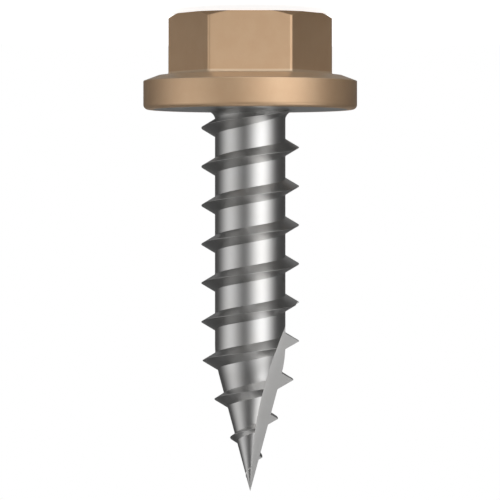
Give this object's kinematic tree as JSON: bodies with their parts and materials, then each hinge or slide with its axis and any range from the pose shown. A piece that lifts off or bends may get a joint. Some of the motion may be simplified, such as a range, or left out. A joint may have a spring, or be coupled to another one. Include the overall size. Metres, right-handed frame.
{
  "type": "flanged hex head screw",
  "caption": "Self-drilling wood screw with a hex head on a round flange, a coarse right-hand thread and a sharp point with a gash.",
  "frame": {"origin": "centre of the flat top of the head, which is the lowest face as the screw stands on its head", "axes": "+Z along the shank from the head to the tip of the point, +Y square to one flat of the hex, +X through one corner of the hex and away from the gashed quarter of the point"},
  "size_m": [0.014, 0.014, 0.0313],
  "materials": {
    "screw": "Bright zinc plate on the shank, thread, point and bearing face; satin beige paint on the hex and on the top and rim of the flange."
  },
  "bodies": {
    "root": {"flanged_hex_screw": "screw"}
  },
  "joints": []
}
